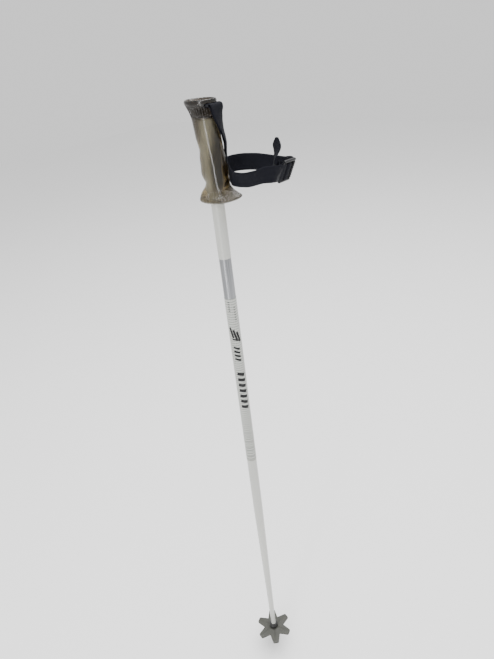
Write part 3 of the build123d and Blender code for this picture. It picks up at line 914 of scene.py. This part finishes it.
def basket_outline():
    """The rim: petals with straight sides and blunt rounded ends, and rounded valleys."""
    turns = [math.tau * j / STAR_AROUND for j in range(STAR_AROUND)]
    petal = STAR_R - PETAL_ROOT_R
    radii = []
    for turn in turns:
        off = abs(petal_offset(turn))
        reach = PETAL_ROOT_R
        for n in range(OUTLINE_STEPS):
            r = PETAL_ROOT_R + petal * n / (OUTLINE_STEPS - 1)
            across, along = r * math.sin(off), r * math.cos(off)
            narrowing = (PETAL_TIP_HALF - PETAL_ROOT_HALF) * (along - PETAL_ROOT_R) / petal
            half = PETAL_ROOT_HALF + narrowing
            end = STAR_R - along
            if end < PETAL_TIP_ROUND:
                rounding = PETAL_TIP_ROUND**2 - (PETAL_TIP_ROUND - end) ** 2
                half -= PETAL_TIP_ROUND - math.sqrt(max(0.0, rounding))
            if across <= half and end >= 0.0:
                reach = r
        in_valley = min(1.0, (PETAL_STEP / 2 - off) / (PETAL_STEP / 6))
        radii.append(max(reach, VALLEY_R - VALLEY_DIP * math.cos(math.pi * in_valley)))
    padded = np.array([radii[-1], *radii, radii[0]])
    softened = np.convolve(padded, np.array([1, 2, 1]) / 4.0, mode="valid")
    return [(turn, float(radius)) for turn, radius in zip(turns, softened)]


# ---- printed marks --------------------------------------------------------------------------
MARKS_FACING = math.radians(-50.0)
INK_RISE = 0.00006
INK_FACET = 0.6
# Each group: how many strokes, the first one's ends, the step to the next, and the width, all in
# millimetres: round the tube first, then down from the film's top.
STROKES = [
    (3, (-7.0, 48.0), (-3.0, 66.0), (5.0, 4.0), 3.4),
    (1, (-5.0, 68.0), (7.0, 72.0), (0.0, 0.0), 2.6),
    (4, (-5.0, 83.0), (4.5, 87.0), (0.0, 7.0), 3.6),
    (7, (-5.0, 133.0), (7.0, 136.0), (0.0, 11.0), 6.0),
    (5, (-5.0, 5.0), (-2.5, 5.0), (0.0, 3.6), 1.3),
    (6, (3.0, 14.0), (5.5, 14.0), (0.0, 4.2), 1.2),
]


def make_marks():
    """Plain slanted strokes and bars printed on the film, standing for its dark graphics."""
    verts, faces = [], []
    radius = FILM_R + INK_RISE

    def stroke(s0, z0, s1, z1, width):
        start = len(verts)
        length = math.hypot(s1 - s0, z1 - z0)
        steps, lanes = math.ceil(length / INK_FACET), math.ceil(width / INK_FACET)
        for k in range(steps + 1):
            for n in range(lanes + 1):
                t, side = k / steps, (n / lanes - 0.5) * width / length
                s = s0 + (s1 - s0) * t - (z1 - z0) * side
                z = z0 + (z1 - z0) * t + (s1 - s0) * side
                turn = MARKS_FACING + s * MM / radius
                x, y = radius * math.cos(turn), radius * math.sin(turn)
                verts.append((x, y, GRAPHIC_HIGH - z * MM))
        for k in range(steps):
            for n in range(lanes):
                a = start + k * (lanes + 1) + n
                faces.append((a, a + 1, a + lanes + 2, a + lanes + 1))

    for count, (s0, z0), (s1, z1), (ds, dz), width in STROKES:
        for k in range(count):
            stroke(s0 + k * ds, z0 + k * dz, s1 + k * ds, z1 + k * dz, width)
    marks = mesh_piece("printed_strokes", verts, faces, mat_ink, "pole")


# ---- stage ----------------------------------------------------------------------------------
FLOOR_SIZE = 14.0
# Each light: place, the point it faces, width and height in metres, and power in watts.
LIGHTS = {
    "overhead": ((0.3, 0.4, 3.6), (0.1, 0.1, 0.0), (3.2, 3.2), 190.0),
    "key": ((0.2, -1.8, 2.3), (0, 0, 0.9), (0.8, 0.8), 14.0),
    "streak": ((0.28, -1.42, 0.95), (0, 0, 1.0), (0.16, 1.5), 9.0),
}


def area_light(name, place, aim, size, power):
    light = bpy.data.lights.new(name, "AREA")
    light.energy = power
    light.shape = "RECTANGLE"
    light.size, light.size_y = size
    lamp = bpy.data.objects.new(name, light)
    lamp.location = place
    lamp.rotation_euler = (Vector(aim) - Vector(place)).to_track_quat("-Z", "Y").to_euler()
    bpy.context.scene.collection.objects.link(lamp)


def make_stage():
    """A pale floor in a white studio, lit softly from above and in front."""
    bpy.ops.mesh.primitive_plane_add(size=FLOOR_SIZE, location=(0, 0, 0))
    floor = bpy.context.object
    floor.name = "floor"
    m = Nodes("pale_floor")
    m.set(Base_Color=rgba(0.95, 0.95, 0.95), Roughness=0.9)
    floor.data.materials.append(m.material)
    world = bpy.data.worlds.new("studio")
    world.use_nodes = True
    background = world.node_tree.nodes["Background"]
    background.inputs["Color"].default_value = rgba(1.0, 1.0, 1.0)
    background.inputs["Strength"].default_value = 1.0
    bpy.context.scene.world = world
    for name, (place, aim, size, power) in LIGHTS.items():
        area_light(name, place, aim, size, power)


# The camera stands a little above the grip and looks down the shaft, rolled to the side.
CAMERA_PLACE = (0.4202, -0.4991, 1.2578)
CAMERA_HEADING = math.radians(128.43)
CAMERA_PITCH = math.radians(-30.40)
CAMERA_ROLL = math.radians(-6.75)
CAMERA_LENS = 27.04
CAMERA_SENSOR = 36.0


def make_camera():
    camera = bpy.data.cameras.new("camera")
    camera.lens = CAMERA_LENS
    camera.sensor_width = CAMERA_SENSOR
    camera.clip_start = 0.02
    rig = bpy.data.objects.new("camera", camera)
    forward = Vector((
        math.cos(CAMERA_PITCH) * math.cos(CAMERA_HEADING),
        math.cos(CAMERA_PITCH) * math.sin(CAMERA_HEADING),
        math.sin(CAMERA_PITCH),
    ))
    level = forward.to_track_quat("-Z", "Y").to_matrix()
    rolled = level @ Matrix.Rotation(CAMERA_ROLL, 3, "Z")
    rig.matrix_world = Matrix.Translation(CAMERA_PLACE) @ rolled.to_4x4()
    bpy.context.scene.collection.objects.link(rig)
    bpy.context.scene.camera = rig


finish_cad_nodes()
make_grip()
make_strap()
make_buckle()
make_bar_tack()
make_basket()
make_marks()
make_stage()
make_camera()
